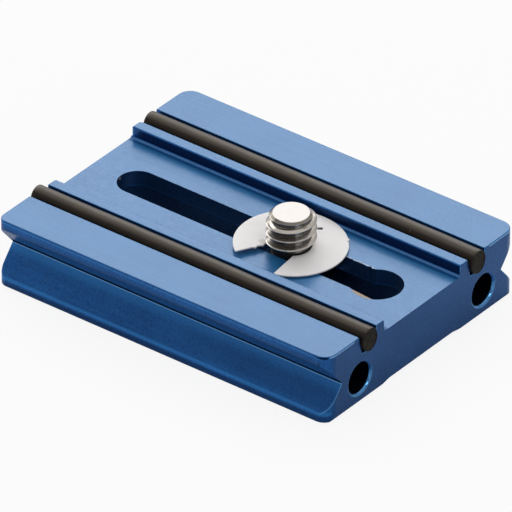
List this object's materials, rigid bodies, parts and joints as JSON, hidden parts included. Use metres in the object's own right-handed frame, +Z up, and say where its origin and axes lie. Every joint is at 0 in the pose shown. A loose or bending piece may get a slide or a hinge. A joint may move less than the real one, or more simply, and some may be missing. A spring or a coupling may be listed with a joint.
{
  "type": "tripod quick release plate",
  "caption": "Flat dovetail plate that screws under a camera and slides into a tripod head's clamp, with rubber grip cords and a captive screw in a keyhole slot.",
  "frame": {"origin": "middle of the underside, on the surface the plate lies on", "axes": "+X along the slot towards the keyhole end, +Y across the plate, +Z up along the camera screw"},
  "size_m": [0.0522, 0.038, 0.0133],
  "materials": {
    "blue_anodised": "satin blue anodised aluminium",
    "cord_rubber": "matte dark grey rubber",
    "screw_steel": "bright nickel-plated steel",
    "washer_plastic": "off-white plastic with a soft sheen"
  },
  "bodies": {
    "plate": {"plate_body": "blue_anodised", "near_cord": "cord_rubber", "far_cord": "cord_rubber"},
    "carriage": {"retaining_washer": "washer_plastic"},
    "screw": {"camera_screw": "screw_steel"}
  },
  "joints": [
    {"name": "slot_slide", "type": "slide", "parent": "plate", "child": "carriage", "axis": [1, 0, 0], "range_m": [-0.02405, 0.01325]},
    {"name": "screw_turn", "type": "hinge", "parent": "carriage", "child": "screw", "pos_m": [0.0054, 0, 0.0087], "axis": [0, 0, 1], "continuous": true}
  ]
}
